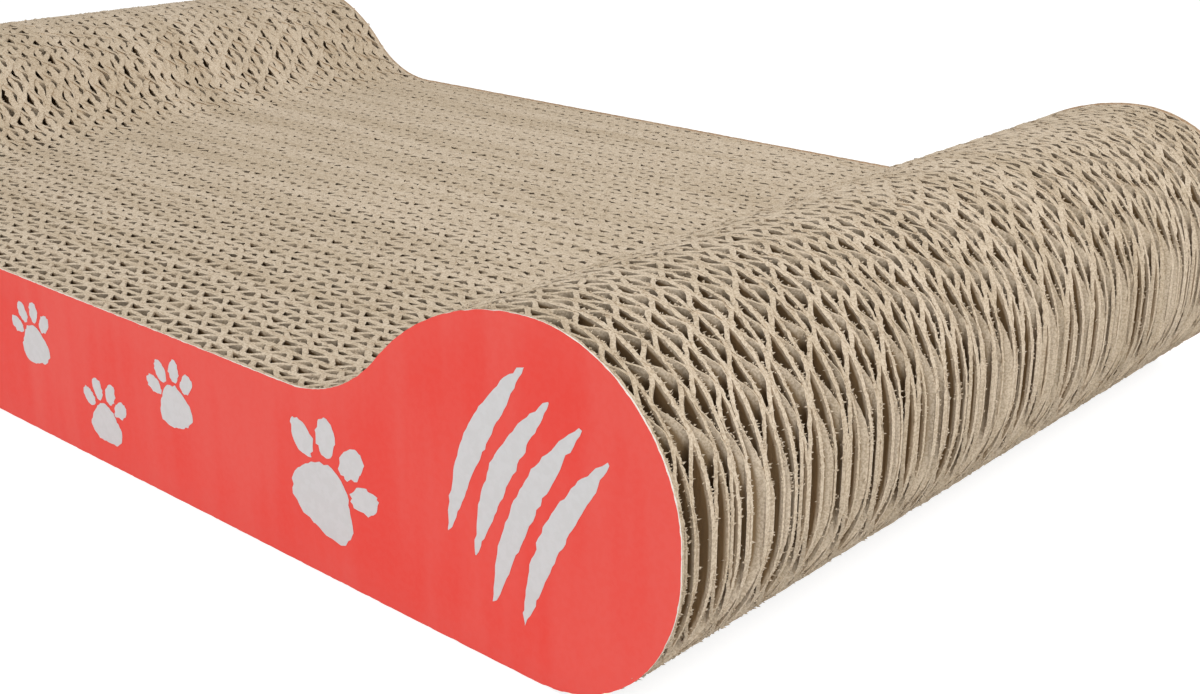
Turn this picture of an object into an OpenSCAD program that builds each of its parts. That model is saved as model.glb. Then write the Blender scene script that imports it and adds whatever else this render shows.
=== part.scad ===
/* [Outline] */
// Length over the two rounded ends
scratcher_l = 410; // [340:5:560]
// Height of the crest of each lobe
lobe_h = 67.5; // [67:0.5:84]
// Height of the slab between the lobes
slab_h = 38.5; // [28:0.5:48]
// Radius of the upper and the lower corner of each end
end_r = 32; // [24:0.5:33]
// Radius of the crown that falls from the crest towards the slab
crown_r = 54; // [42:1:62]
// Radius of the hollow where a lobe runs out onto the slab
hollow_r = 37.5; // [25:0.5:60]

/* [Boards] */
// Number of corrugated boards glued face to face
board_n = 30; // [8:1:56]
// Thickness of one paper of a board
paper_t = 0.3; // [0.2:0.05:0.4]
// Height of the low flutes, between the near and the middle liner
low_flute_h = 3.1; // [2.4:0.05:4]
// Pitch of the low flutes
low_pitch = 7.7; // [6.5:0.1:9]
// Height of the high flutes, between the middle and the far liner
high_flute_h = 3.65; // [3:0.05:5]
// Pitch of the high flutes
high_pitch = 8.4; // [7:0.1:10]

/* [Printed covers] */
// Thickness of the printed sheet laminated on each outer board
cover_t = 0.35; // [0.2:0.05:0.6]

/* [Hidden] */
$fn = 96;
// A double-wall board: three flat liners and two layers of flutes
board_t = 3 * paper_t + low_flute_h + high_flute_h;
stack_w = board_n * board_t;
// Gap between a liner and the tips of the flutes, where the glue line is
glue_t = 0.05;
// Flutes in a run, an odd number. The end tips of a run are one with the liner
run_n = 27;
// How far along the flutes of a board are from those of the board before it, in pitches
low_step_share = 0.37;
high_step_share = 0.29;
// How far a cut runs past the board
overrun = 1;
// The corners of an end are centred here. An upright joins them
end_x = scratcher_l / 2 - end_r;
// The crown is tangent to the upper corner at the crest, and to the hollow lower down
crown_z = lobe_h - crown_r;
hollow_z = slab_h + hollow_r;
hollow_x = end_x - sqrt(pow(crown_r + hollow_r, 2) - pow(hollow_z - crown_z, 2));

function board_name(i) = str("board_", i < 10 ? "0" : "", i);

// A quarter of a disc that ends a lobe, above or below the height z of its centre
module corner(z, below) {
    intersection() {
        translate([end_x, z]) circle(end_r);
        translate([end_x, below ? z - end_r : z]) square(end_r);
    }
}

// The lobe at the +X end: its corners, a crown, and a web that the hollow is cut from
module lobe() {
    corner(end_r, true);
    corner(lobe_h - end_r, false);
    translate([end_x, end_r]) square([end_r, lobe_h - 2 * end_r]);
    intersection() {
        translate([end_x, crown_z]) circle(crown_r);
        square([end_x, lobe_h]);
    }
    difference() {
        polygon([[hollow_x, 0], [end_x, 0], [end_x, crown_z], [hollow_x, hollow_z]]);
        translate([hollow_x, hollow_z]) circle(hollow_r);
    }
}

// A sheet cut to the side outline of the scratcher, standing on z = 0 with its near face at y
module sheet(y, t) {
    translate([0, y + t, 0]) rotate([90, 0, 0]) {
        linear_extrude(t) translate([-end_x, 0]) square([2 * end_x, slab_h]);
        linear_extrude(t) lobe();
        mirror([1, 0, 0]) linear_extrude(t) lobe();
    }
}

// Thickness of a slanted flute wall, measured across the stack and along the board
function wall_y(h, pitch) = paper_t * sqrt(1 + pow(2 * h / pitch, 2));
function wall_x(h, pitch) = wall_y(h, pitch) * pitch / (2 * h);

// The space between one run of flutes of height h and a liner, whose face is at y and looks towards side 1 or -1
function run_space(x, y, h, pitch, side) =
    let (root = h - glue_t - wall_y(h, pitch), foot = wall_x(h, pitch) / 2)
    concat(
        [[x + foot, y]],
        [for (k = [1:2 * run_n - 1]) [x + k * pitch / 2, y + side * (k % 2 == 1 ? root : glue_t)]],
        [[x + run_n * pitch - foot, y]]
    );

// The spaces on both sides of a layer of flutes. The joined tips of its two sides are half a run apart
function layer_spaces(y, h, pitch, share) =
    let (runs = ceil(scratcher_l / 2 / (run_n * pitch)))
    [for (k = [-runs - 1:runs]) each [
        run_space((k * run_n + share) * pitch, y, h, pitch, 1),
        run_space(((k + 1 / 2) * run_n + share) * pitch, y + h, h, pitch, -1)
    ]];

// A board with upright flutes and its near face at y = 0
module fluted_board(low_share, high_share) {
    spaces = concat(
        layer_spaces(paper_t, low_flute_h, low_pitch, low_share),
        layer_spaces(2 * paper_t + low_flute_h, high_flute_h, high_pitch, high_share)
    );
    difference() {
        sheet(0, board_t);
        translate([0, 0, -overrun]) linear_extrude(lobe_h + 2 * overrun) for (space = spaces) polygon(space);
    }
}

module board(i) {
    color([0.79, 0.73, 0.61]) translate([0, (i - 1) * board_t - stack_w / 2, 0])
        fluted_board((i * low_step_share) % 1, (i * high_step_share) % 1);
}

module near_cover() {
    color([0.9, 0.35, 0.32]) sheet(-stack_w / 2 - cover_t, cover_t);
}

module far_cover() {
    color([0.9, 0.35, 0.32]) sheet(stack_w / 2, cover_t);
}

for (i = [1:board_n]) board(i);
near_cover();
far_cover();
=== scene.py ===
# The looks of a cardboard cat scratcher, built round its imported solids
import math

import bmesh
import bpy
import numpy as np
from mathutils import Matrix, Vector

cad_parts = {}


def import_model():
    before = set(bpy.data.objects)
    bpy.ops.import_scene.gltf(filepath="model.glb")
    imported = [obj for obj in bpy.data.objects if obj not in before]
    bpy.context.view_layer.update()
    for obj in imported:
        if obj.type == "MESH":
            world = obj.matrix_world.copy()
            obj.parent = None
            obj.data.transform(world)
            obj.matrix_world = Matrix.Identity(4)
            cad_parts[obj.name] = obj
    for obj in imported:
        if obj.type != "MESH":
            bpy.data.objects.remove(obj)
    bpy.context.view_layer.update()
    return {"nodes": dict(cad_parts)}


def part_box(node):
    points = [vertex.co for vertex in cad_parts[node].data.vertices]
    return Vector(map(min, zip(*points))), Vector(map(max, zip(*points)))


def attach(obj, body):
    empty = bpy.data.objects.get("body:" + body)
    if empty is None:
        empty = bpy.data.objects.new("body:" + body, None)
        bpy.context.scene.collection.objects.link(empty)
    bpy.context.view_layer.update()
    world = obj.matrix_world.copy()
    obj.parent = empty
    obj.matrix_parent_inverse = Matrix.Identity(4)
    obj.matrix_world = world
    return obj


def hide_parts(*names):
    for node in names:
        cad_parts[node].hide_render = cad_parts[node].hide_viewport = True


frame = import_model()

# Sizes are in metres, so a value in millimetres carries MM
MM = 0.001
SEED = 7

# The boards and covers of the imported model
BOARDS = sorted(name for name in frame["nodes"] if name.startswith("board_"))
FIRST_LOW, FIRST_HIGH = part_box(BOARDS[0])
LENGTH = FIRST_HIGH.x - FIRST_LOW.x
HEIGHT = FIRST_HIGH.z
STACK_LOW_Y = FIRST_LOW.y
STACK_HIGH_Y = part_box(BOARDS[-1])[1].y
STACK_W = STACK_HIGH_Y - STACK_LOW_Y
BOARD_T = STACK_W / len(BOARDS)
COVER_FACE_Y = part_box("far_cover")[1].y

# Side outline, the same as that of the solids
SLAB_H = 38.5 * MM
END_R = 32 * MM
CROWN_R = 54 * MM
HOLLOW_R = 37.5 * MM
END_X = LENGTH / 2 - END_R
CROWN_Z = HEIGHT - CROWN_R
HOLLOW_Z = SLAB_H + HOLLOW_R
HOLLOW_X = END_X - math.sqrt((CROWN_R + HOLLOW_R) ** 2 - (HOLLOW_Z - CROWN_Z) ** 2)
TANGENT_X = END_X - CROWN_R * (END_X - HOLLOW_X) / (CROWN_R + HOLLOW_R)

# A double-wall board: liner, low flutes, liner, high flutes, liner
PAPERS = 5
PAPER_T = 0.3 * MM
LOW_FLUTE_H = 3.1 * MM
LOW_PITCH = 7.7 * MM
HIGH_PITCH = 8.4 * MM
# How far the flutes are along from one board to the next, in pitches
LOW_STEP_SHARE = 0.37
HIGH_STEP_SHARE = 0.29
# A flute touches its near liner this share of a turn before it crosses the middle
TOUCH_SHARE = 0.25
# Straightness of a flute's flanks, from 0 for a sine to nearly 1 for a zigzag
FLANK_SHARE = 0.68

# Mesh steps along a paper, and the depths of its rows below the top cut and over the bottom cut
MIDDLE_STEPS = 380
END_STEPS = 56
END_TURN = math.radians(90)
FLUTE_DROPS = [0, 0.5 * MM, 1.8 * MM]
LINER_DROPS = [0, 0.5 * MM, 2.5 * MM]
RISES = [1.6 * MM, 0]
# A row never goes further down a short column than these shares of its height
DROP_SHARES = [0, 0.15, 0.3]
RISE_SHARES = [0.2, 0]
# At the very ends, where a cut stands upright, its rows lie this share of their depth apart
LEAST_SUNK_SHARE = 0.1
# An edge that turns by more than this many radians stays sharp
SHARP_TURN = 1
# A small step along the length, to measure a slope
SLOPE_STEP = 0.1 * MM

# Lips of the sawn edges: what they add to a paper's width, and how that falls off behind the cut
LIP_T = 1.1 * MM
LIP_DEPTHS = [0, 0.5 * MM, 1.6 * MM, 3 * MM]
LIP_SHARES = [1, 0.8, 0.1, 0]
# Lips are thinner on the end faces, and thicker towards the lobe at the -X end, which is worn the most
END_LIP_SHARE = 0.4
SLAB_LIP_SHARE = 1.35
WORN_LIP_SHARE = 1.55
# Each place of a lip has this share of its width, and up to this much more or less
LIP_EVEN_SHARE = 0.9
LIP_UNEVEN_SHARE = 0.5
# Wear from the near side of the stack to its far side, by place across it. Its near side is the freshest
WEAR_PLACE_SHARES = [0, 0.15, 0.5, 1]
WEAR_SHARES = [0.55, 0.8, 1.25, 1.35]

# Teeth of the sawn edges: their depth, and the share of it that both faces of a paper have alike
TOOTH = 0.4 * MM
TOOTH_GRAIN_SHARE = 0.8
# Claws have smoothed the slab and the crests. Teeth grow to their full depth this far round the ends
SLAB_TOOTH_SHARE = 0.4
TOOTH_GROWTH = 0.6 * END_R
RIM_WIGGLE = 0.16 * MM
# The columns of the mesh crowd together this close to the ends, so the edges run evenly there
CALM_REACH = 0.25 * MM

# Torn fibres of each board, the share of them on the end faces, and the share on the lobes
TUFTS = 4000
END_TUFT_SHARE = 0.64
LOBE_TUFT_SHARE = 0.2
# Spikes of the blank stand this far apart, in their own radius
TUFT_PITCH = 4
TUFT_SIDES = 3
TUFT_R = 0.27 * MM
TUFT_R_SHARES = (0.5, 1.2)
TUFT_REACH = 0.95 * MM
TUFT_REACH_SHARES = (0.35, 1)
TUFT_REACH_POWER = 1.5
# Fibres start up to this far behind the cut, and this share of a lip's width out from their paper
TUFT_SINK = 0.7 * MM
TUFT_ROOT_SHARE = 0.3
# How far fibres point out of the cut and along it, next to 1 across the stack
TUFT_LIFTS = (-0.3, 0.8)
TUFT_SLANTS = (-0.6, 0.6)
# The saw has pushed most of the fibres over to the far side of each paper
FAR_TUFT_SHARE = 0.85
PAPER_TUFT_SHARES = [0.3, 0.2, 0.27, 0.2, 0.03]

# Papers wander the most at the cut, and less this far behind it
CRUSH_DEPTH = 5 * MM
# A random curve has this many knots more than steps, one of them before the -X end
SPARE_KNOTS = 4
# Wander of the joints between boards: size, step, share deep down, and share at the covers
SEAM_WANDER = 0.3 * MM
SEAM_WANDER_STEP = 12 * MM
DEEP_SEAM_SHARE = 0.3
OUTER_SEAM_SHARE = 0.1
# The same of the middle liners
LINER_WANDER = 0.35 * MM
LINER_WANDER_STEP = 10 * MM
DEEP_LINER_SHARE = 0.2
# Slow and quick wander of the flutes along the board, in pitches
DRIFT_SHARE = 0.12
DRIFT_STEP = 30 * MM
LEAN_SHARE = 0.05
LEAN_STEP = 6 * MM
# Some flutes are pressed flatter, where a random curve from -1 to 1 is past a limit
CRUSH_STEP = 9 * MM
CRUSH_START = 0.45
CRUSH_SHARE = 0.7
# Papers that stand free at the end faces wander this much more, and it grows towards the end by this power
END_WANDER_SHARE = 1.4
END_GROWTH_POWER = 1.5
# The whole stack bends sideways in a long wave and a short one, which slants across the stack
SWAY = 0.5 * MM
LONG_WAVE = 310 * MM
LONG_WAVE_TURN = 0.8
SHORT_WAVE = 130 * MM
SHORT_WAVE_SHARE = 0.6
SHORT_WAVE_SLANT = 40

# Each use of random numbers has its own first key
SEAM_KEY, LINER_KEY, LEAN_KEY, CRUSH_KEY, DRIFT_KEY = range(5)
TOOTH_KEY, PRINT_KEY, TUFT_KEY, FRAY_KEY, RIM_KEY = range(5, 10)


def place_object(name, data):
    """A new object in the scene"""
    made = bpy.data.objects.new(name, data)
    bpy.context.scene.collection.objects.link(made)
    return made


def mesh_from(bm, name):
    """A mesh from a finished bmesh"""
    mesh = bpy.data.meshes.new(name)
    bm.to_mesh(mesh)
    bm.free()
    return mesh


# The side outline


def over_end(x):
    """How far a place lies past the centres of the rounded corners, along the length"""
    return np.maximum(np.abs(x) - END_X, 0)


def past_corners(z):
    """How far a height is above the centre of the upper corner, or less than 0 below that of the lower"""
    return np.maximum(z - (HEIGHT - END_R), 0) - np.maximum(END_R - z, 0)


def end_share(x):
    """0 up to the centres of the rounded corners, then a rise to 1 at the very ends"""
    return np.clip((np.abs(x) - END_X) / END_R, 0, 1)


def top_of(x):
    """Height of the side outline over the floor at a distance x from the middle"""
    a = np.abs(x)
    end = HEIGHT - END_R + np.sqrt(np.maximum(END_R**2 - (a - END_X) ** 2, 0))
    crown = CROWN_Z + np.sqrt(np.maximum(CROWN_R**2 - (a - END_X) ** 2, 0))
    hollow = HOLLOW_Z - np.sqrt(np.maximum(HOLLOW_R**2 - (a - HOLLOW_X) ** 2, 0))
    return np.select([a > END_X, a > TANGENT_X, a > HOLLOW_X], [end, crown, hollow], SLAB_H)


def bottom_of(x):
    """Height of the lower edge of the side outline, which only the rounded ends lift"""
    return END_R - np.sqrt(np.maximum(END_R**2 - over_end(x) ** 2, 0))


def depth_at(x, z):
    """How deep a place lies behind the nearest cut"""
    round_depth = END_R - np.hypot(over_end(x), past_corners(z))
    flat_depth = np.minimum(top_of(x) - z, z - bottom_of(x))
    return np.maximum(np.where(over_end(x) > 0, round_depth, flat_depth), 0)


def sunk(x, depth):
    """How far below the cut a place is that lies a depth behind it, in from a rounded end too"""
    over = over_end(x)
    outer = np.sqrt(np.maximum(END_R**2 - over**2, 0))
    inner = np.sqrt(np.maximum((END_R - depth) ** 2 - over**2, 0))
    return np.maximum(outer - inner, LEAST_SUNK_SHARE * depth)


def rise_into(x, z, on_top):
    """Upward part of the direction from the cut into the stack"""
    return np.where(np.abs(x) > END_X, -past_corners(z) / END_R, np.where(on_top, -1.0, 1.0))


def column_places():
    """Places along the length: even steps between the rounded ends, then even turns round them"""
    turns = np.linspace(0, END_TURN, END_STEPS + 1)[1:]
    end = END_X + END_R * np.sin(turns)
    middle = np.linspace(-END_X, END_X, MIDDLE_STEPS + 1)
    return np.concatenate([-end[::-1], middle, end])


# Where each paper runs


def wander(key, step):
    """A smooth random curve along the length, from -1 to 1, with a knot at each step"""
    rng = np.random.default_rng([SEED, *key])
    knots = rng.uniform(-1, 1, int(LENGTH / step) + SPARE_KNOTS)

    def at(x):
        place = (x + LENGTH / 2) / step + 1
        low = np.clip(np.floor(place).astype(int), 0, len(knots) - 2)
        share = np.clip(place - low, 0, 1)
        share = share * share * (3 - 2 * share)
        return knots[low] * (1 - share) + knots[low + 1] * share

    return at


def sway(x, y):
    """How far the whole stack bends sideways at a place, and nothing at its two faces"""
    share = np.clip(1 - (2 * y / STACK_W) ** 2, 0, 1)
    long = np.sin(x * 2 * math.pi / LONG_WAVE + LONG_WAVE_TURN)
    short = np.sin(x * 2 * math.pi / SHORT_WAVE + y * SHORT_WAVE_SLANT)
    return SWAY * share * (long + SHORT_WAVE_SHARE * short)


def looseness(x):
    """How much more the papers wander towards the end faces"""
    return 1 + END_WANDER_SHARE * end_share(x) ** END_GROWTH_POWER


def near_cut(depth):
    """1 at the cut, then a fall towards 0 behind it"""
    return np.exp(-depth / CRUSH_DEPTH)


def seam_shift(seam, x, depth):
    """How far the joint before board number seam + 1 wanders across, the most at the cut"""
    size = SEAM_WANDER * looseness(x)
    if seam in (0, len(BOARDS)):
        size = SEAM_WANDER * OUTER_SEAM_SHARE
    share = DEEP_SEAM_SHARE + (1 - DEEP_SEAM_SHARE) * near_cut(depth)
    y = STACK_LOW_Y + seam * BOARD_T
    return size * share * wander((SEAM_KEY, seam), SEAM_WANDER_STEP)(x) + sway(x, y)


def liner_shift(board, x, depth):
    """How far the middle liner of a board wanders across"""
    size = LINER_WANDER * looseness(x)
    share = DEEP_LINER_SHARE + (1 - DEEP_LINER_SHARE) * near_cut(depth)
    y = STACK_LOW_Y + (board - 0.5) * BOARD_T
    return size * share * wander((LINER_KEY, board), LINER_WANDER_STEP)(x) + sway(x, y)


def flute_wave(turns):
    """A rounded zigzag from -1 to 1 over each whole turn"""
    return np.arcsin(FLANK_SHARE * np.sin(2 * math.pi * turns)) / math.asin(FLANK_SHARE)


def flutes(board, layer, x, depth, low, high, pitch, step_share):
    """Middle of a fluted paper between the faces low and high of its two liners"""
    drift = DRIFT_SHARE * near_cut(depth) * wander((DRIFT_KEY, board, layer), DRIFT_STEP)(x)
    lean = LEAN_SHARE * near_cut(depth) * wander((LEAN_KEY, board, layer), LEAN_STEP)(x)
    pressed = np.clip(wander((CRUSH_KEY, board, layer), CRUSH_STEP)(x) - CRUSH_START, 0, 1)
    reach = (high - low - PAPER_T) / 2 * (1 - CRUSH_SHARE * pressed * near_cut(depth))
    turns = x / pitch - board * step_share - TOUCH_SHARE + drift + lean
    return (low + high) / 2 + reach * flute_wave(turns)


def paper_middle(board, paper, x, depth):
    """Where the middle of a paper of a board is across the stack"""
    start = STACK_LOW_Y + (board - 1) * BOARD_T
    near = start + PAPER_T + seam_shift(board - 1, x, depth)
    middle = start + 1.5 * PAPER_T + LOW_FLUTE_H + liner_shift(board, x, depth)
    far = start + BOARD_T - PAPER_T + seam_shift(board, x, depth)
    if paper == 0:
        return near - PAPER_T / 2
    if paper == 1:
        return flutes(board, 0, x, depth, near, middle - PAPER_T / 2, LOW_PITCH, LOW_STEP_SHARE)
    if paper == 2:
        return middle
    if paper == 3:
        return flutes(board, 1, x, depth, middle + PAPER_T / 2, far, HIGH_PITCH, HIGH_STEP_SHARE)
    return far + PAPER_T / 2


# How far painted light reaches into the pockets before their painted shade, from the -X end to the +X end
POCKET_PLACES = [-HOLLOW_X, HOLLOW_X, END_X, LENGTH / 2]
PAINTED_POCKET_LIGHT_SHARES = [2.1, 1.6, 1.25, 0.85]
# Painted light reaches this far down between papers that touch, and further down a wider pocket; below it
# the walls get painted shade
LEAST_REACH = 0.5 * MM
# The flat liners get painted shade sooner, within this share of that reach, as light reaches less far down
# them than over the slanting flutes
LINER_REACH_SHARE = 0.4
# A pocket is as wide as its narrowest place at these shares of the way out of the stack
WAY_OUT_SHARES = [0, 0.5, 1]


def painted_light_reach(board, paper, other, x, z, depth):
    """How far painted light reaches down the pocket between a paper and another, before painted shade"""
    over = over_end(x)
    grown = END_R / np.maximum(np.hypot(over, past_corners(z)), LEAST_REACH)
    way_out = np.where(over > 0, np.sign(x) * over * (grown - 1), 0)
    gap = np.full(len(x), HEIGHT)
    for share in WAY_OUT_SHARES:
        place = x + share * way_out
        between = paper_middle(board, other, place, depth) - paper_middle(board, paper, place, depth)
        gap = np.minimum(gap, np.maximum(np.abs(between) - PAPER_T, 0))
    return gap + LEAST_REACH


# Blanks: meshes of whole numbers, which are copied and then put in their shape


def add_unit_sheet(bm, columns, rows, number):
    """A closed sheet with its column along x, its row along y and its side, 0 or 1, along z"""
    place = Matrix.Translation((columns / 2, rows / 2, 2 * number))
    scale = Matrix.Diagonal((columns, rows, 1, 1))
    made = bmesh.ops.create_grid(bm, x_segments=columns, y_segments=rows, size=0.5, matrix=place @ scale)
    # A dict keeps each face once and in the same order in every run, which a set doesn't
    faces = list(dict.fromkeys(face for vert in made["verts"] for face in vert.link_faces))
    bmesh.ops.solidify(bm, geom=faces, thickness=-1)


def blank_mesh(name, columns, row_counts):
    """Sheets one behind the other, with smooth faces and sharp rims"""
    bm = bmesh.new()
    for number, rows in enumerate(row_counts):
        add_unit_sheet(bm, columns, rows, number)
    bmesh.ops.recalc_face_normals(bm, faces=bm.faces)
    for face in bm.faces:
        face.smooth = True
    for edge in bm.edges:
        edge.smooth = edge.calc_face_angle(0) < SHARP_TURN
    return mesh_from(bm, name)


def tuft_blank():
    """A row of spikes, one unit wide and high"""
    bm = bmesh.new()
    for number in range(TUFTS):
        place = Matrix.Translation((TUFT_PITCH * number, 0, 0.5))
        bmesh.ops.create_cone(
            bm, cap_ends=True, segments=TUFT_SIDES, radius1=1, radius2=0, depth=1, matrix=place
        )
    for face in bm.faces:
        face.smooth = True
    return mesh_from(bm, "tuft_blank")


def read_places(mesh):
    """Places of the vertices of a mesh, one row each"""
    co = np.empty(len(mesh.vertices) * 3)
    mesh.vertices.foreach_get("co", co)
    return co.reshape(-1, 3)


def read_blank(mesh):
    """Column, row, sheet number and side of each vertex of a blank"""
    column, row, level = np.rint(read_places(mesh)).astype(int).T
    return column, row, level // 2, level % 2


def write_shape(mesh, x, y, z, reach):
    """Puts vertices in place, none below the floor, and keeps how far down painted light reaches at each,
    which sets the painted shade of the pockets
    """
    place = np.stack([x, y, np.maximum(z, 0)], axis=1)
    mesh.vertices.foreach_set("co", place.astype(np.float32).ravel())
    kept = mesh.attributes.new("reach", "FLOAT", "POINT")
    kept.data.foreach_set("value", reach.astype(np.float32))
    mesh.update()


# The papers of a board


def row_heights(x, row, drops):
    """Height of each vertex by its row, and 1 on the rows that lie on the cut"""
    top, bottom = top_of(x), bottom_of(x)
    tall = top - bottom
    last = len(drops) + len(RISES) - 1
    z = np.empty(len(x))
    for number, (drop, share) in enumerate(zip(drops, DROP_SHARES)):
        z = np.where(row == number, top - np.minimum(sunk(x, drop), share * tall), z)
    for number, (rise, share) in enumerate(zip(RISES, RISE_SHARES)):
        z = np.where(row == len(drops) + number, bottom + np.minimum(sunk(x, rise), share * tall), z)
    return z, (row == 0) | (row == last)


def wear(board):
    """How much a board is worn, as a share of the usual"""
    return np.interp(board / len(BOARDS), WEAR_PLACE_SHARES, WEAR_SHARES)


def lip_width(board, x):
    """How much the lips of a board add to a paper's width at the cut"""
    worn = np.interp(x, [-HOLLOW_X, HOLLOW_X, END_X], [WORN_LIP_SHARE, SLAB_LIP_SHARE, 1])
    thinned = 1 - (1 - END_LIP_SHARE) * end_share(x) ** END_GROWTH_POWER
    return LIP_T * worn * thinned * wear(board)


def teeth(x, z, rim, on_top, grain, rng):
    """How far the teeth of the sawn edges take each vertex up or down"""
    smoothed = np.interp(np.abs(x), [END_X, END_X + TOOTH_GROWTH], [SLAB_TOOTH_SHARE, 1])
    shares = TOOTH_GRAIN_SHARE * grain + (1 - TOOTH_GRAIN_SHARE) * rng.random(len(x))
    return TOOTH * smoothed * rim * shares * rise_into(x, z, on_top)


def rim_wiggles(board, count, rng):
    """How far the rims of the papers move across, from -1 to 1. Papers glued together move together"""
    wiggles = rng.uniform(-1, 1, (PAPERS, count, 2))
    for paper, seam in ((0, board - 1), (PAPERS - 1, board)):
        wiggles[paper] = np.random.default_rng([SEED, RIM_KEY, seam]).uniform(-1, 1, (count, 2))
    return wiggles


def run_papers(board, paper, side, x, z, depth):
    """Place across, slope along the board and reach of painted light of each vertex of a board's papers"""
    y = np.empty(len(x))
    slope = np.zeros(len(x))
    reach = np.full(len(x), LEAST_REACH)
    for number in range(PAPERS):
        own = paper == number
        fluted = number % 2 == 1
        y[own] = paper_middle(board, number, x[own], depth[own])
        if fluted:
            ahead = paper_middle(board, number, x[own] + SLOPE_STEP, depth[own])
            slope[own] = (ahead - y[own]) / SLOPE_STEP
        for face, other in ((0, number - 1), (1, number + 1)):
            if 0 <= other < PAPERS:
                faced = own & (side == face)
                # Painted shade comes sooner on the liners
                share = 1 if fluted else LINER_REACH_SHARE
                reach[faced] = share * painted_light_reach(board, number, other, x[faced], z[faced], depth[faced])
    # Painted light reaches further into the pockets towards the -X end and on worn boards
    lit = np.interp(x, POCKET_PLACES, PAINTED_POCKET_LIGHT_SHARES) * max(wear(board), 1)
    return y, slope, reach * lit


def board_piece(board, blank, tufts, columns):
    """The papers of one board, cut to the outline, with worn edges"""
    mesh = blank.copy()
    column, row, paper, side = read_blank(blank)
    x = columns[column]
    on_top = row == 0
    edge = on_top.astype(int)
    fluted = paper % 2 == 1
    flute_z, flute_rim = row_heights(x, row, FLUTE_DROPS)
    liner_z, liner_rim = row_heights(x, row, LINER_DROPS)
    z = np.where(fluted, flute_z, liner_z)
    rim = np.where(fluted, flute_rim, liner_rim)
    depth = depth_at(x, z)
    rng = np.random.default_rng([SEED, TOOTH_KEY, board])
    grain = rng.random((PAPERS, len(columns), 2)) ** 2
    z = z + teeth(x, z, rim, on_top, grain[paper, column, edge], rng)
    lively = np.clip((LENGTH / 2 - np.abs(x)) / CALM_REACH, 0, 1)
    wiggle = RIM_WIGGLE * lively * rim * rim_wiggles(board, len(columns), rng)[paper, column, edge]
    y, slope, reach = run_papers(board, paper, side, x, z, depth)
    uneven = LIP_EVEN_SHARE + lively * rng.uniform(-LIP_UNEVEN_SHARE, LIP_UNEVEN_SHARE, len(x))
    lip = lip_width(board, x) * np.interp(depth, LIP_DEPTHS, LIP_SHARES) * uneven
    glued = ((paper == 0) & (side == 0)) | ((paper == PAPERS - 1) & (side == 1))
    out = (side - 0.5) * (PAPER_T + np.where(glued, 0, lip))
    length = np.sqrt(1 + slope**2)
    write_shape(mesh, x - out * slope / length, y + wiggle + out / length, z, reach)
    add_tufts(mesh, board, tufts)
    return place_object(f"papers_{board:02d}", mesh)


# Torn fibres


def cut_place(rng, count):
    """Random places on the cut, over the top and round both ends, with the way out of the stack there"""
    pick = rng.random(count)
    at_end = pick < END_TUFT_SHARE
    on_lobe = pick > 1 - LOBE_TUFT_SHARE
    turn = rng.uniform(0, math.pi, count)
    sign = rng.choice([-1.0, 1.0], count)
    lobe_x = sign * rng.uniform(HOLLOW_X, END_X, count)
    middle = np.where(on_lobe, lobe_x, rng.uniform(-HOLLOW_X, HOLLOW_X, count))
    x = np.where(at_end, sign * (END_X + END_R * np.sin(turn)), middle)
    centre_z = np.where(turn < math.pi / 2, HEIGHT - END_R, END_R)
    z = np.where(at_end, centre_z + END_R * np.cos(turn), top_of(middle))
    slope = (top_of(middle + SLOPE_STEP) - top_of(middle - SLOPE_STEP)) / (2 * SLOPE_STEP)
    length = np.sqrt(1 + slope**2)
    out_x = np.where(at_end, sign * np.sin(turn), -slope / length)
    out_z = np.where(at_end, np.cos(turn), 1 / length)
    return x, z, out_x, out_z


def unit_vectors(vectors):
    """Vectors of the same directions, one unit long"""
    return vectors / np.linalg.norm(vectors, axis=1)[:, None]


def tuft_roots(board, rng):
    """Where the fibres of a board start, and which way they point"""
    x, z, out_x, out_z = cut_place(rng, TUFTS)
    paper = rng.choice(PAPERS, TUFTS, p=PAPER_TUFT_SHARES)
    side = np.where(rng.random(TUFTS) < FAR_TUFT_SHARE, 1, -1)
    side = np.where(paper == 0, 1, np.where(paper == PAPERS - 1, -1, side))
    y = np.empty(TUFTS)
    for number in range(PAPERS):
        own = paper == number
        y[own] = paper_middle(board, number, x[own], np.zeros(own.sum()))
    y = y + side * (PAPER_T / 2 + TUFT_ROOT_SHARE * lip_width(board, x))
    sink = rng.uniform(0, TUFT_SINK, TUFTS)
    lift = rng.uniform(*TUFT_LIFTS, TUFTS)
    slant = rng.uniform(*TUFT_SLANTS, TUFTS)
    root = np.stack([x - out_x * sink, y, z - out_z * sink], axis=1)
    return root, unit_vectors(np.stack([out_x * lift + slant, side, out_z * lift], axis=1))


def add_tufts(mesh, board, blank):
    """Torn fibres that stand out from the cut edges of a board's papers"""
    rng = np.random.default_rng([SEED, TUFT_KEY, board])
    root, way = tuft_roots(board, rng)
    first = unit_vectors(np.cross([0.0, 0.0, 1.0], way))
    second = np.cross(way, first)
    radius = TUFT_R * rng.uniform(*TUFT_R_SHARES, TUFTS)[:, None]
    reach = TUFT_REACH * rng.uniform(*TUFT_REACH_SHARES, TUFTS)[:, None] ** TUFT_REACH_POWER
    unit = read_places(blank)
    own = np.rint(unit[:, 0] / TUFT_PITCH).astype(int)
    across, along, up = (unit - [TUFT_PITCH, 0, 0] * own[:, None]).T[:, :, None]
    ring = radius[own] * (across * first[own] + along * second[own])
    shape = root[own] + ring + reach[own] * up * way[own]
    tufts = blank.copy()
    # Fibres get a reach so long that they carry no painted shade
    write_shape(tufts, *shape.T, np.full(len(shape), BOARD_T))
    bm = bmesh.new()
    bm.from_mesh(mesh)
    bm.from_mesh(tufts)
    bm.to_mesh(mesh)
    bm.free()
    bpy.data.meshes.remove(tufts)


# Shader nodes


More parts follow.
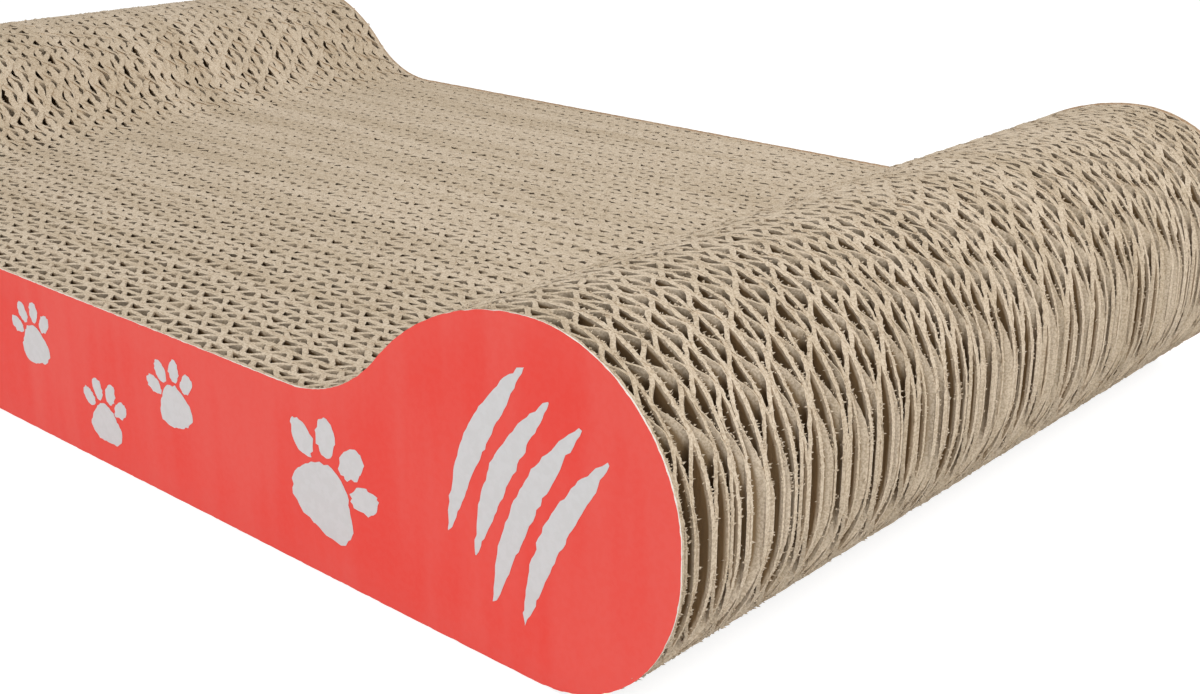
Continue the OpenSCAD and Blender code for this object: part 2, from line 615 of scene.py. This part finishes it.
def add_node(tree, kind, settings=None, **inputs):
    """A shader node. Its inputs are values, or sockets to link, and i2 stands for input number 2"""
    made = tree.nodes.new(kind)
    for name, value in (settings or {}).items():
        setattr(made, name, value)
    for name, value in inputs.items():
        numbered = name[0] == "i" and name[1:].isdigit()
        socket = made.inputs[int(name[1:]) if numbered else name]
        if isinstance(value, bpy.types.NodeSocket):
            tree.links.new(value, socket)
        else:
            socket.default_value = value
    return made


def maths(tree, operation, first, second=0.0):
    """One step of arithmetic"""
    return add_node(tree, "ShaderNodeMath", {"operation": operation}, i0=first, i1=second).outputs[0]


def mix_colour(tree, share, first, second, blend="MIX"):
    """A colour between two, by a share from 0 to 1"""
    settings = {"data_type": "RGBA", "blend_type": blend}
    return add_node(tree, "ShaderNodeMix", settings, i0=share, i6=first, i7=second).outputs[2]


def ramp(tree, value, low, high):
    """0 up to low, then a smooth rise to 1 at high"""
    made = add_node(tree, "ShaderNodeMapRange", {"interpolation_type": "SMOOTHSTEP"}, Value=value)
    made.inputs["From Min"].default_value = low
    made.inputs["From Max"].default_value = high
    return made.outputs["Result"]


def object_place(tree):
    """The place of a point on the object"""
    return add_node(tree, "ShaderNodeTexCoord").outputs["Object"]


def noise(tree, place, scale, stretch=None, **inputs):
    """Soft random clouds, drawn out along the axes whose stretch is small"""
    if stretch:
        place = add_node(tree, "ShaderNodeMapping", Vector=place, Scale=stretch).outputs[0]
    return add_node(tree, "ShaderNodeTexNoise", Vector=place, Scale=scale, **inputs).outputs[0]


def bump(tree, shader, height, strength, distance):
    """Relief from a height, on a shader"""
    made = add_node(tree, "ShaderNodeBump", Strength=strength, Distance=distance, Height=height)
    tree.links.new(made.outputs[0], shader.inputs["Normal"])


def reach_from(tree, x, z, centre_x, centre_z):
    """How far a place is from a centre, on x and z"""
    across = maths(tree, "SUBTRACT", x, centre_x)
    up = maths(tree, "SUBTRACT", z, centre_z)
    pair = add_node(tree, "ShaderNodeCombineXYZ", X=across, Y=up).outputs[0]
    return add_node(tree, "ShaderNodeVectorMath", {"operation": "LENGTH"}, i0=pair).outputs["Value"]


def beyond(tree, x, limit, first, second):
    """The first value where x is past a limit, and the second where it isn't"""
    past = maths(tree, "GREATER_THAN", x, limit)
    return add_node(tree, "ShaderNodeMix", i0=past, i2=second, i3=first).outputs[0]


def cut_depth_group():
    """How deep a place lies behind the nearest cut of the side outline"""
    tree = bpy.data.node_groups.new("cut_depth", "ShaderNodeTree")
    tree.interface.new_socket("Depth", in_out="OUTPUT", socket_type="NodeSocketFloat")
    outside = tree.nodes.new("NodeGroupOutput")
    apart = add_node(tree, "ShaderNodeSeparateXYZ", Vector=object_place(tree)).outputs
    x = maths(tree, "ABSOLUTE", apart["X"])
    z = apart["Z"]
    # All heights between the two corners count as one centre, so one distance serves both corners
    over = maths(tree, "MAXIMUM", x, END_X)
    below = maths(tree, "MINIMUM", z, END_R)
    above = maths(tree, "MAXIMUM", z, HEIGHT - END_R)
    past = maths(tree, "ADD", maths(tree, "SUBTRACT", above, HEIGHT - END_R), below)
    end = maths(tree, "SUBTRACT", END_R, reach_from(tree, over, past, END_X, END_R))
    crown = maths(tree, "SUBTRACT", CROWN_R, reach_from(tree, x, z, END_X, CROWN_Z))
    hollow = maths(tree, "SUBTRACT", reach_from(tree, x, z, HOLLOW_X, HOLLOW_Z), HOLLOW_R)
    slab = maths(tree, "SUBTRACT", SLAB_H, z)
    near_slab = beyond(tree, x, HOLLOW_X, hollow, slab)
    middle = maths(tree, "MINIMUM", beyond(tree, x, TANGENT_X, crown, near_slab), z)
    tree.links.new(beyond(tree, x, END_X, end, middle), outside.inputs["Depth"])
    return tree


# Clouds of paper fibre turn into specks over this range
SPECK_RAMP = (0.38, 0.6)


def fibre_group():
    """Specks and fibres of raw paper, by place on the object"""
    tree = bpy.data.node_groups.new("paper_fibre", "ShaderNodeTree")
    for name in ("Speck Scale", "Fibre Scale"):
        tree.interface.new_socket(name, in_out="INPUT", socket_type="NodeSocketFloat")
    for name in ("Specks", "Height"):
        tree.interface.new_socket(name, in_out="OUTPUT", socket_type="NodeSocketFloat")
    inside = tree.nodes.new("NodeGroupInput")
    outside = tree.nodes.new("NodeGroupOutput")
    place = object_place(tree)
    speck = noise(tree, place, inside.outputs["Speck Scale"], Detail=3.0)
    fibre = noise(tree, place, inside.outputs["Fibre Scale"], (1, 1, 0.25), Detail=4.0, Roughness=0.7)
    height = maths(tree, "MULTIPLY", maths(tree, "ADD", speck, fibre), 0.5)
    tree.links.new(ramp(tree, speck, *SPECK_RAMP), outside.inputs["Specks"])
    tree.links.new(height, outside.inputs["Height"])
    return tree


def place_group(tree, group, **inputs):
    """The outputs of a shader node group that is set in a tree"""
    made = tree.nodes.new("ShaderNodeGroup")
    made.node_tree = group
    for name, value in inputs.items():
        made.inputs[name.replace("_", " ")].default_value = value
    return made.outputs


def new_material(name, roughness):
    """A material, its tree and its shader"""
    material = bpy.data.materials.new(name)
    material.use_nodes = True
    tree = material.node_tree
    shader = tree.nodes["Principled BSDF"]
    shader.inputs["Roughness"].default_value = roughness
    return material, tree, shader


# Materials

EDGE_COLOUR = (0.66, 0.545, 0.41, 1)
WALL_COLOUR = (0.60, 0.49, 0.36, 1)
# Painted shade of the narrow pockets
POCKET_SHADE_COLOUR = (0.27, 0.18, 0.095, 1)
# Painted shade of the walls deep behind the cut
DEEP_SHADE_COLOUR = (0.215, 0.14, 0.07, 1)
PALE_FLECK = (0.78, 0.665, 0.52, 1)
DARK_FLECK = (0.41, 0.31, 0.205, 1)
# Boards differ a little in tone, between this tint and none
DULL_TINT = (0.86, 0.84, 0.80, 1)
NO_TINT = (1, 1, 1, 1)
TINT_RAMP = (0.3, 0.7)
# Where the colour changes: painted pocket shade in shares of the reach of painted light, and the pale furry
# cut and painted deep shade in depths behind the cut
SHADE_SHARES = (0.15, 0.56)
FURRY_DEPTHS = (0.3 * MM, 0.9 * MM)
DEEP_DEPTHS = (2.5 * MM, 9 * MM)
FLECK_SHARE = 0.5


def cardboard_material(fibre, cut_depth):
    """Raw kraft paper: pale and furry at the cut, browner down the walls"""
    material, tree, shader = new_material("raw_cardboard", 0.92)
    depth = place_group(tree, cut_depth)["Depth"]
    grain = place_group(tree, fibre, Speck_Scale=2300.0, Fibre_Scale=900.0)
    tone = noise(tree, object_place(tree), 1.0, (9, 160, 9), Detail=2.0)
    reach = add_node(tree, "ShaderNodeAttribute", {"attribute_name": "reach"}).outputs["Fac"]
    # Painted shade: walls darken to the pocket colour past the reach of painted light
    shaded = ramp(tree, maths(tree, "DIVIDE", depth, reach), *SHADE_SHARES)
    lit = mix_colour(tree, shaded, WALL_COLOUR, POCKET_SHADE_COLOUR)
    # Painted shade: darker still deep behind the cut
    wall = mix_colour(tree, ramp(tree, depth, *DEEP_DEPTHS), lit, DEEP_SHADE_COLOUR)
    colour = mix_colour(tree, ramp(tree, depth, *FURRY_DEPTHS), EDGE_COLOUR, wall)
    flecks = mix_colour(tree, grain["Specks"], DARK_FLECK, PALE_FLECK)
    flecked = maths(tree, "MULTIPLY", maths(tree, "SUBTRACT", 1.0, shaded), FLECK_SHARE)
    colour = mix_colour(tree, flecked, colour, flecks)
    tint = mix_colour(tree, ramp(tree, tone, *TINT_RAMP), DULL_TINT, NO_TINT)
    colour = mix_colour(tree, 1.0, colour, tint, "MULTIPLY")
    tree.links.new(colour, shader.inputs["Base Color"])
    shader.inputs["Specular IOR Level"].default_value = 0.15
    bump(tree, shader, grain["Height"], 0.8, 0.2 * MM)
    return material


PRINT_RED = (0.86, 0.066, 0.048, 1)
WORN_AND_LIT_RED = (0.86, 0.094, 0.073, 1)
RED_SPECK = (0.9, 0.55, 0.5, 1)
# Painted light: the red is paler in upright blotches that stand for the light on the washboard ripples over
# the flutes, and in wide clouds, and it is worn paler by half within this depth of its edge
WASHBOARD_LIGHT_SHARE = 0.55
BLOTCH_RAMP = (0.42, 0.62)
FADED_EDGE = 10 * MM
FADED_EDGE_SHARE = 0.5


def printed_material(fibre, cut_depth):
    """Red print on paper, with painted light in soft upright blotches over the washboard ripples, a little
    paler in wide clouds, and worn paler along its edge
    """
    material, tree, shader = new_material("red_print", 0.55)
    place = object_place(tree)
    # Painted light of the washboard ripples, in paler upright blotches
    washboard_light = maths(tree, "MULTIPLY", noise(tree, place, 110.0, (1, 1, 0.12), Detail=2.0), WASHBOARD_LIGHT_SHARE)
    cloud = maths(tree, "MULTIPLY", noise(tree, place, 14.0, Detail=2.0), 1 - WASHBOARD_LIGHT_SHARE)
    both = maths(tree, "ADD", washboard_light, cloud)
    depth = place_group(tree, cut_depth)["Depth"]
    edge = maths(tree, "SUBTRACT", 1.0, ramp(tree, depth, 0.0, FADED_EDGE))
    faded_edge = maths(tree, "MULTIPLY", edge, FADED_EDGE_SHARE)
    share = maths(tree, "ADD", ramp(tree, both, *BLOTCH_RAMP), faded_edge)
    colour = mix_colour(tree, share, PRINT_RED, WORN_AND_LIT_RED)
    grain = place_group(tree, fibre, Speck_Scale=900.0, Fibre_Scale=500.0)
    colour = mix_colour(tree, maths(tree, "MULTIPLY", grain["Specks"], 0.015), colour, RED_SPECK)
    tree.links.new(colour, shader.inputs["Base Color"])
    shader.inputs["Specular IOR Level"].default_value = 0.2
    bump(tree, shader, grain["Height"], 0.15, 0.05 * MM)
    return material


CORE_COLOUR = (0.78, 0.74, 0.68, 1)
BACK_COLOUR = (0.52, 0.35, 0.22, 1)
# The outer part of a cover is white paper, and its back is brown
WHITE_PLY_T = 0.29 * MM


def core_material(fibre):
    """The paper that the print lies on, seen on its cut edge: white outside and brown behind"""
    material, tree, shader = new_material("cover_core", 0.9)
    grain = place_group(tree, fibre, Speck_Scale=1200.0, Fibre_Scale=800.0)
    apart = add_node(tree, "ShaderNodeSeparateXYZ", Vector=object_place(tree)).outputs
    across = maths(tree, "ABSOLUTE", apart["Y"])
    outer = maths(tree, "GREATER_THAN", across, COVER_FACE_Y - WHITE_PLY_T)
    plies = mix_colour(tree, outer, BACK_COLOUR, CORE_COLOUR)
    colour = mix_colour(tree, maths(tree, "MULTIPLY", grain["Specks"], 0.4), plies, PALE_FLECK)
    tree.links.new(colour, shader.inputs["Base Color"])
    return material


INK_WHITE = (0.67, 0.67, 0.67, 1)
INK_SPECK = (0.60, 0.595, 0.585, 1)


def ink_material(fibre):
    """Light grey parts of the print"""
    material, tree, shader = new_material("grey_print", 0.6)
    grain = place_group(tree, fibre, Speck_Scale=700.0, Fibre_Scale=300.0)
    colour = mix_colour(tree, maths(tree, "MULTIPLY", grain["Specks"], 0.35), INK_WHITE, INK_SPECK)
    tree.links.new(colour, shader.inputs["Base Color"])
    return material


# Printed covers

COVER_ROWS = 6
# A cover follows the flutes behind it, and bows a little in a wave that slants up its face
WASHBOARD = 0.03 * MM
BOW_SHARE = 1.5
BOW_TURN = 61
BOW_SLANT = 20
FRAY = 0.14 * MM
# How far the rims of the covers stand out past the cut edges of the boards, near and far
RIMS_PROUD = (0.05 * MM, 0.4 * MM)


def cover_faces(node, outer_side):
    """Outer and inner face of a cover across the stack, and 1 or -1 for the way it looks"""
    low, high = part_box(node)
    return (low.y, high.y, -1) if outer_side == 0 else (high.y, low.y, 1)


def face_ripple(x, z):
    """How far a cover stands out over the flutes behind it"""
    bow = BOW_SHARE * np.sin(x * BOW_TURN + z * BOW_SLANT)
    return WASHBOARD * (np.sin(2 * math.pi * x / LOW_PITCH) + bow)


def frayed(x, z, proud, rng):
    """Places on the rim of a cover, moved out past the side outline and drawn in again unevenly"""
    at_end = np.abs(x) > END_X
    past = past_corners(z)
    out_x = np.sign(x) * over_end(x) / END_R
    out_z = np.where(at_end, past / END_R, np.sign(past))
    inward = FRAY * rng.random(len(x)) ** 2 - proud
    return x - out_x * inward, z - out_z * inward


def cover_piece(name, node, outer_side, blank, columns, materials):
    """A printed sheet laminated on an outer board"""
    mesh = blank.copy()
    column, row, _, side = read_blank(blank)
    x = columns[column]
    top, bottom = top_of(x), bottom_of(x)
    z = top + (bottom - top) * row / COVER_ROWS
    rim_x, rim_z = frayed(x, z, RIMS_PROUD[outer_side], np.random.default_rng([SEED, FRAY_KEY, outer_side]))
    on_rim = (row == 0) | (row == COVER_ROWS)
    x, z = np.where(on_rim, rim_x, x), np.where(on_rim, rim_z, z)
    face_y, inner_y, toward = cover_faces(node, outer_side)
    y = np.where(side == outer_side, face_y + toward * face_ripple(x, z), inner_y)
    write_shape(mesh, x, y, z, np.full(len(x), BOARD_T))
    for material in materials:
        mesh.materials.append(material)
    sides = np.array([int(side[list(face.vertices)].mean() * 2) for face in mesh.polygons])
    mesh.polygons.foreach_set("material_index", (sides != 2 * outer_side).astype(np.int32))
    piece = place_object(name, mesh)
    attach(piece, "root")
    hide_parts(node)


# Paws: place along the face and up it, size across, in millimetres, and turn in degrees
PAWS = [
    (118, 21, 30, -24),
    (66, 25, 19, 14),
    (38, 13, 19, -2),
    (9, 25, 19, 12),
    (-19, 13, 19, -4),
    (-170, 36, 40, 16),
    (-120, 20, 26, -12),
]
# Pad and toes of a paw, in shares of its size, but the pad swells by its lobe share into three lobes
PAD_SHARES = (0.62, 0.50)
PAD_LOBE_SHARE = 0.10
PAD_DROP_SHARE = 0.16
PAD_POINTS = 44
TOE_SHARES = (0.19, 0.28)
TOE_TURNS = (-56, -20, 20, 56)
TOE_REACH_SHARE = 0.40
TOE_DROP_SHARE = 0.10
TOE_POINTS = 26
PAW_ROUGH_SHARE = 0.008
# Claw marks: place along the face and up it, length, in millimetres, turn in degrees and number of strokes
SCRATCHES = [(171, 35, 46, 62, 4), (-66, 20, 34, 24, 3)]
STROKE_POINTS = 34
# Strokes, in shares of the length of the marks
STROKE_LENGTH_SHARES = (0.78, 1)
STROKE_BOW_SHARE = 0.06
STROKE_WIDTH_SHARE = 0.05
STROKE_TIP_SHARE = 0.004
STROKE_TAPER_POWER = 0.75
STROKE_PITCH_SHARE = 0.16
STROKE_ROUGH_SHARE = 0.0035
# How far a stroke is shifted along, in millimetres
STROKE_SHIFT = 2
# The print is a film, and how far it lies off the cover
INK_T = 0.03 * MM
INK_GAP = 0.03 * MM


def rough(points, rng, size):
    """Outline points moved a little, as if cut by hand"""
    return points + rng.normal(0, size, points.shape)


def add_patch(bm, points):
    """A flat filled patch from the points of its outline, on x and y"""
    made = bmesh.ops.create_circle(bm, cap_ends=True, segments=len(points), radius=1)
    for vert, point in zip(made["verts"], points):
        vert.co = (point[0], point[1], 0)


def ellipse(shares, size, segments):
    """Points round an ellipse, and their turns"""
    turns = np.linspace(0, 2 * math.pi, segments, endpoint=False)
    width, height = shares[0] * size, shares[1] * size
    return np.stack([width / 2 * np.cos(turns), height / 2 * np.sin(turns)], axis=1), turns


def turned(points, degrees):
    """Points turned round the origin"""
    a = math.radians(degrees)
    return points @ np.array([[math.cos(a), math.sin(a)], [-math.sin(a), math.cos(a)]])


def add_paw(bm, x, z, size, turn, rng):
    """A paw print: a three-lobed pad and four toes"""
    pad, turns = ellipse(PAD_SHARES, size, PAD_POINTS)
    pad = pad * (1 + PAD_LOBE_SHARE * np.cos(3 * (turns - math.pi / 2)))[:, None]
    shapes = [pad - [0, PAD_DROP_SHARE * size]]
    for toe_turn in TOE_TURNS:
        toe, _ = ellipse(TOE_SHARES, size, TOE_POINTS)
        shapes.append(turned(toe + [0, TOE_REACH_SHARE * size], -toe_turn) - [0, TOE_DROP_SHARE * size])
    for shape in shapes:
        add_patch(bm, turned(rough(shape, rng, PAW_ROUGH_SHARE * size), turn) + [x, z])


def add_scratches(bm, x, z, length, turn, count, rng):
    """Claw marks side by side, each a curved stroke that thins out at its ends"""
    along = np.linspace(0, 1, STROKE_POINTS)
    arch = np.sin(along * math.pi)
    for number in range(count):
        reach = length * rng.uniform(*STROKE_LENGTH_SHARES)
        centre = np.stack([(along - 0.5) * reach, STROKE_BOW_SHARE * length * arch], axis=1)
        width = length * (STROKE_WIDTH_SHARE * arch**STROKE_TAPER_POWER + STROKE_TIP_SHARE)
        side = np.stack([np.zeros(len(along)), width], axis=1)
        outline = np.concatenate([centre + side, (centre - side)[::-1]])
        row = (number - (count - 1) / 2) * STROKE_PITCH_SHARE * length
        shift = [rng.uniform(-STROKE_SHIFT, STROKE_SHIFT), row]
        add_patch(bm, turned(rough(outline + shift, rng, STROKE_ROUGH_SHARE * length), turn) + [x, z])


def print_piece(name, node, outer_side, material):
    """The light grey print of one cover, a film on its face"""
    rng = np.random.default_rng([SEED, PRINT_KEY, outer_side])
    bm = bmesh.new()
    for paw in PAWS:
        add_paw(bm, *paw, rng)
    for scratches in SCRATCHES:
        add_scratches(bm, *scratches, rng)
    bmesh.ops.triangulate(bm, faces=bm.faces)
    made = bmesh.ops.extrude_face_region(bm, geom=list(bm.faces))
    risen = {item for item in made["geom"] if isinstance(item, bmesh.types.BMVert)}
    face_y, _, toward = cover_faces(node, outer_side)
    for vert in bm.verts:
        x, z = vert.co.x * MM, vert.co.y * MM
        rise = INK_GAP + (INK_T if vert in risen else 0)
        vert.co = (x, face_y + toward * (float(face_ripple(x, z)) + rise), z)
    bmesh.ops.recalc_face_normals(bm, faces=bm.faces)
    mesh = mesh_from(bm, name)
    mesh.materials.append(material)
    piece = place_object(name, mesh)
    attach(piece, "root")


# Camera, floor and light

IMAGE_W = 1200
FOCAL_PX = 1569.4
SENSOR_W = 36
CAMERA_PLACE = Vector((340.0, -285.2, 150.4)) * MM
CAMERA_AZIMUTH = math.radians(41.79)
CAMERA_ELEVATION = math.radians(20.25)
CAMERA_ROLL = math.radians(0.218)
CAMERA_CLIP = 10 * MM


def camera():
    """The camera at the viewing angle of the photograph"""
    flat = math.cos(CAMERA_ELEVATION)
    back = Vector(
        (math.sin(CAMERA_AZIMUTH) * flat, -math.cos(CAMERA_AZIMUTH) * flat, math.sin(CAMERA_ELEVATION))
    )
    right = Vector((0, 0, 1)).cross(back).normalized()
    up = back.cross(right)
    rolled_right = right * math.cos(CAMERA_ROLL) + up * math.sin(CAMERA_ROLL)
    rolled_up = up * math.cos(CAMERA_ROLL) - right * math.sin(CAMERA_ROLL)
    data = bpy.data.cameras.new("camera")
    data.sensor_width = SENSOR_W
    data.lens = FOCAL_PX * SENSOR_W / IMAGE_W
    data.clip_start = CAMERA_CLIP
    made = place_object("camera", data)
    axes = Matrix((rolled_right, rolled_up, back)).transposed()
    made.matrix_world = Matrix.Translation(CAMERA_PLACE) @ axes.to_4x4()
    bpy.context.scene.camera = made


def backdrop_rays(tree):
    """1 for the rays of the camera and for those that gloss or glass sends on"""
    path = tree.nodes.new("ShaderNodeLightPath").outputs
    seen = maths(tree, "MAXIMUM", path["Is Camera Ray"], path["Is Glossy Ray"])
    return maths(tree, "MAXIMUM", seen, path["Is Transmission Ray"])


FLOOR_HALF = 4.0
FLOOR_GAP = 0.2 * MM
FLOOR_COLOUR = (0.80, 0.80, 0.80, 1)
# What the camera sees of the floor is darker and glows, which keeps a soft shadow on white
SEEN_FLOOR = (0.40, 0.40, 0.40, 1)
FLOOR_LIFT = 0.80
WORLD_LIGHT = 0.53
WHITE = (1, 1, 1, 1)
# Soft square lamps: name, place, side and power in watts
LAMPS = [
    ("key", (0.98, -0.07, 1.01), 0.7, 9.0),
    ("fill", (0.15, -1.2, 0.38), 0.9, 4.0),
    ("back", (-0.4, 1.25, 0.55), 0.9, 2.4),
]
LAMP_TARGET = (0, 0, 0.03)


def floor():
    """A plain pale floor that shows white in the picture and keeps the shadow"""
    bm = bmesh.new()
    bmesh.ops.create_grid(bm, x_segments=1, y_segments=1, size=FLOOR_HALF)
    bmesh.ops.translate(bm, verts=bm.verts, vec=(0, 0, -FLOOR_GAP))
    mesh = mesh_from(bm, "floor")
    material = bpy.data.materials.new("floor")
    material.use_nodes = True
    tree = material.node_tree
    tree.nodes.clear()
    seen = backdrop_rays(tree)
    plain = add_node(tree, "ShaderNodeBsdfDiffuse", Color=mix_colour(tree, seen, FLOOR_COLOUR, SEEN_FLOOR))
    glow = add_node(tree, "ShaderNodeEmission", Strength=maths(tree, "MULTIPLY", seen, FLOOR_LIFT))
    lit = add_node(tree, "ShaderNodeAddShader", i0=plain.outputs[0], i1=glow.outputs[0])
    clear = tree.nodes.new("ShaderNodeBsdfTransparent")
    below = tree.nodes.new("ShaderNodeNewGeometry").outputs["Backfacing"]
    both = add_node(tree, "ShaderNodeMixShader", i0=below, i1=lit.outputs[0], i2=clear.outputs[0])
    add_node(tree, "ShaderNodeOutputMaterial", Surface=both.outputs[0])
    mesh.materials.append(material)
    made = place_object("floor", mesh)


def world():
    """White behind the object, and an even soft light all round"""
    made = bpy.data.worlds.new("studio")
    bpy.context.scene.world = made
    made.use_nodes = True
    tree = made.node_tree
    tree.nodes.clear()
    soft = add_node(tree, "ShaderNodeBackground", Color=WHITE, Strength=WORLD_LIGHT).outputs[0]
    white = add_node(tree, "ShaderNodeBackground", Color=WHITE, Strength=1.0).outputs[0]
    both = add_node(tree, "ShaderNodeMixShader", i0=backdrop_rays(tree), i1=soft, i2=white)
    add_node(tree, "ShaderNodeOutputWorld", Surface=both.outputs[0])


def softbox(name, place, size, watts):
    """A square area lamp aimed at the object"""
    data = bpy.data.lights.new(name, "AREA")
    data.size = size
    data.energy = watts
    made = place_object(name, data)
    made.location = place
    made.rotation_euler = (Vector(LAMP_TARGET) - Vector(place)).to_track_quat("-Z", "Y").to_euler()


# The scene, piece by piece

camera()
floor()
world()
for lamp in LAMPS:
    softbox(*lamp)

fibre = fibre_group()
cut_depth = cut_depth_group()
cardboard = cardboard_material(fibre, cut_depth)
red_print = printed_material(fibre, cut_depth)
core = core_material(fibre)
ink = ink_material(fibre)

columns = column_places()
flute_rows = len(FLUTE_DROPS) + len(RISES) - 1
liner_rows = len(LINER_DROPS) + len(RISES) - 1
board_rows = [liner_rows, flute_rows, liner_rows, flute_rows, liner_rows]
board_blank = blank_mesh("board_blank", len(columns) - 1, board_rows)
tufts = tuft_blank()
for number, node in enumerate(BOARDS, start=1):
    papers = board_piece(number, board_blank, tufts, columns)
    papers.data.materials.append(cardboard)
    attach(papers, "root")
    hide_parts(node)

cover_blank = blank_mesh("cover_blank", len(columns) - 1, [COVER_ROWS])
cover_piece("near_sheet", "near_cover", 0, cover_blank, columns, [red_print, core])
cover_piece("far_sheet", "far_cover", 1, cover_blank, columns, [red_print, core])
print_piece("near_print", "near_cover", 0, ink)
print_piece("far_print", "far_cover", 1, ink)
for blank in (board_blank, tufts, cover_blank):
    bpy.data.meshes.remove(blank)

bpy.context.scene.view_settings.view_transform = "Standard"
